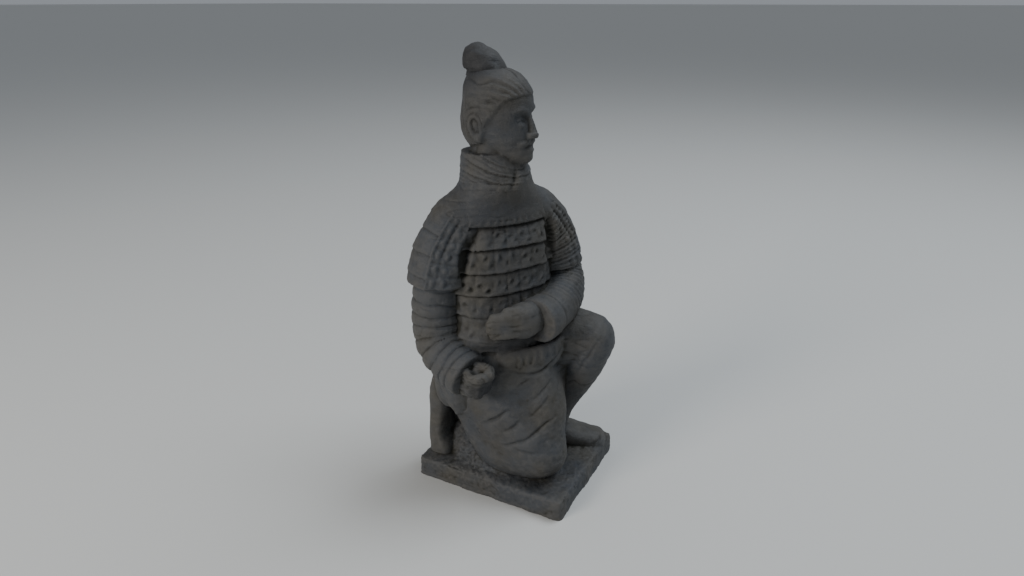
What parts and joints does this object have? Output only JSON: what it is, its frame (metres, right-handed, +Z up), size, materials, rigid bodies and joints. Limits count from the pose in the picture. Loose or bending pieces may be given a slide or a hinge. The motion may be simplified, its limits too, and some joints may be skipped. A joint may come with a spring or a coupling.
{
  "type": "kneeling archer souvenir statue",
  "caption": "Small dark clay figure of an armoured archer kneeling on one knee, hair in a side knot, hands drawn to the right hip, cast in one with a flat rectangular slab.",
  "frame": {"origin": "centre of the slab's flat underside", "axes": "+Z up through the figure, -Y towards the slab's front edge that the raised knee points to, +X towards the figure's left"},
  "size_m": [0.0595, 0.0608, 0.1499],
  "materials": {
    "clay": "matt unglazed dark grey fired clay with a faint satin on the high spots"
  },
  "bodies": {
    "root": {"archer": "clay"}
  },
  "joints": []
}
